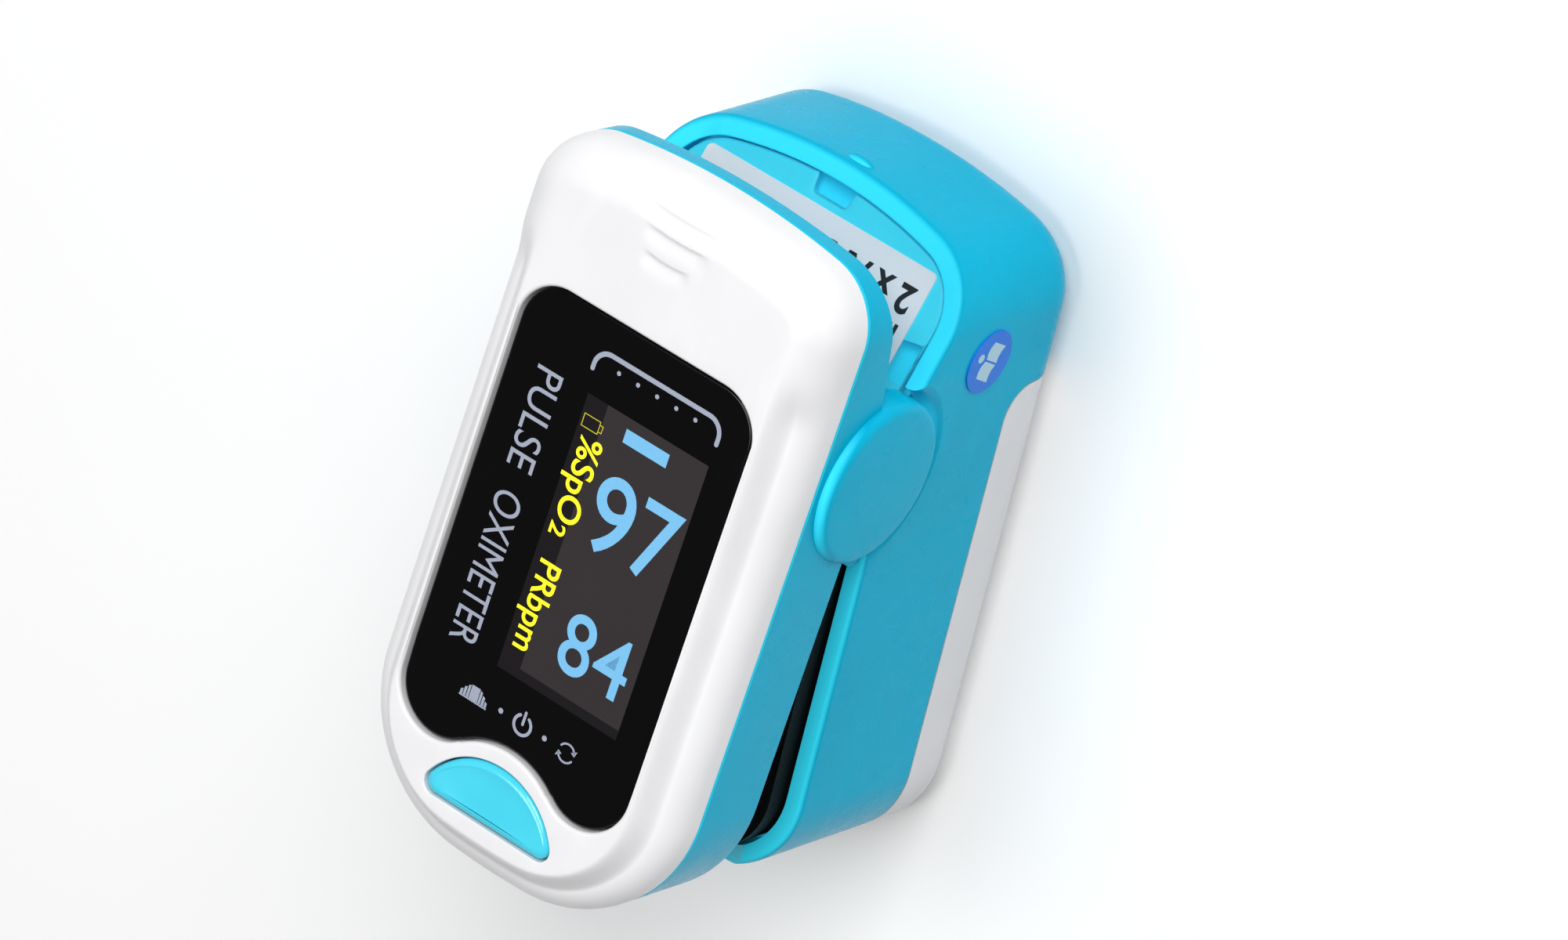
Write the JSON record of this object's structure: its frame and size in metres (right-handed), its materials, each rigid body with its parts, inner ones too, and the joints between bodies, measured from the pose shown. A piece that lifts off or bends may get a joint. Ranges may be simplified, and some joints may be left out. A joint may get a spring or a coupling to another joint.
{
  "type": "fingertip pulse oximeter",
  "caption": "Small battery-powered clip that closes on a fingertip and shows blood oxygen and pulse rate on a display in its upper shell; its shells pivot on a sprung hinge.",
  "frame": {"origin": "middle of the underside of the box round the whole object, lying on its flat back with the display up", "axes": "+Z away from the flat back, through the display; +Y from the finger mouth towards the lever end; +X across, to the right seen from above with the lever end away"},
  "size_m": [0.0296, 0.0576, 0.038],
  "materials": {
    "blue_plastic": "satin, light blue",
    "white_plastic": "satin, white",
    "black_window": "polished, black, clear over the display",
    "black_silicone": "matte, black",
    "display_glass": "dark display panel",
    "circuit_board": "green solder mask",
    "moulded_chip": "moulded, black",
    "connector_nylon": "natural nylon",
    "steel": "plain",
    "nickel_contact": "nickel plated",
    "clear_resin": "clear, tinted red",
    "cell_sleeve": "printed film sleeve over a metal can",
    "label_paper": "satin, silver white",
    "sticker_blue": "satin, strong blue",
    "ribbon_film": "polyimide film"
  },
  "bodies": {
    "base": {"lower_housing": "blue_plastic", "back_cover": "white_plastic", "lower_finger_pad": "black_silicone", "hinge_pin_left": "steel", "hinge_pin_right": "steel", "torsion_spring_left": "steel", "torsion_spring_right": "steel", "battery_1": "cell_sleeve", "battery_2": "cell_sleeve", "battery_contact_1": "nickel_contact", "battery_contact_2": "nickel_contact", "battery_spring_1": "nickel_contact", "battery_spring_2": "nickel_contact", "battery_link_plate": "nickel_contact", "sensor_board": "circuit_board", "photodiode": "moulded_chip", "sensor_window": "clear_resin", "ribbon_cable": "ribbon_film", "guide_sticker": "sticker_blue"},
    "jaw": {"upper_frame": "blue_plastic", "top_cover": "white_plastic", "display_lens": "black_window", "upper_finger_pad": "black_silicone", "oled_display": "display_glass", "main_board": "circuit_board", "tact_switch": "moulded_chip", "processor": "moulded_chip", "board_connector": "connector_nylon", "emitter_led": "moulded_chip", "emitter_window": "clear_resin", "cover_screw_1": "steel", "cover_screw_2": "steel"},
    "button": {"power_button": "blue_plastic"},
    "battery_lid": {"battery_cover": "blue_plastic", "rating_label": "label_paper"}
  },
  "joints": [
    {"name": "jaw_hinge", "type": "hinge", "parent": "base", "child": "jaw", "pos_m": [0, 0.01073, 0.0213], "axis": [-1, 0, 0], "range_deg": [-8.5, 19.5], "stiffness_Nm_per_rad": 0.08, "springref_deg": -34.38, "deforming": ["ribbon_cable", "torsion_spring_left", "torsion_spring_right"]},
    {"name": "button_press", "type": "slide", "parent": "jaw", "child": "button", "axis": [0, -0.1478, -0.989], "range_m": [0, 0.0004], "stiffness_N_per_m": 400},
    {"name": "battery_cover_tilt", "type": "hinge", "parent": "base", "child": "battery_lid", "pos_m": [0, 0.01493, 0.0155], "axis": [1, 0, 0], "range_deg": [0, 4]}
  ]
}
